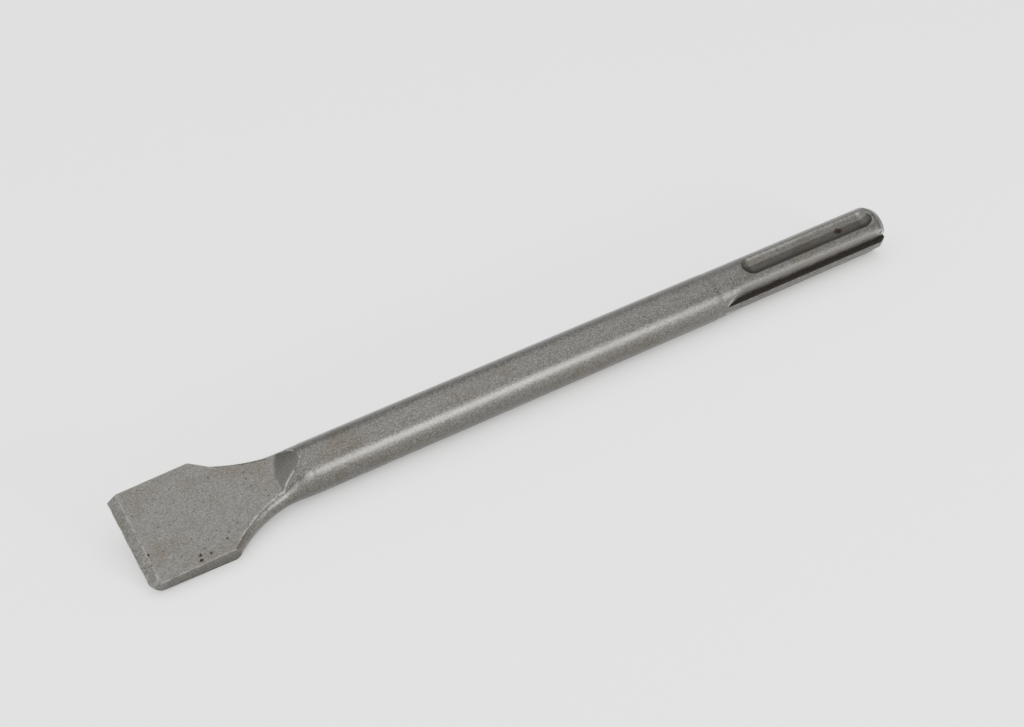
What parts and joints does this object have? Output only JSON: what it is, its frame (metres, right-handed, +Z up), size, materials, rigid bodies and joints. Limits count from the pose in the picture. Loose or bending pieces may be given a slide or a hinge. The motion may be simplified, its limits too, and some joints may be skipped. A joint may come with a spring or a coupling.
{
  "type": "sds chisel",
  "caption": "Forged flat demolition chisel: a broad bevelled blade narrows into a round shaft, and a grooved shank at the other end slides and locks in a hammer's tool holder.",
  "frame": {"origin": "on the floor, below the middle of the tool's length, under the axis of its shaft", "axes": "+X runs along the tool from the cutting edge to the striking end, +Z points up from the floor it lies on, +Y is to the side of the blade that is raised from the floor"},
  "size_m": [0.306, 0.0381, 0.0183],
  "materials": {
    "steel": "blasted matt grey"
  },
  "bodies": {
    "root": {"chisel": "steel"}
  },
  "joints": []
}
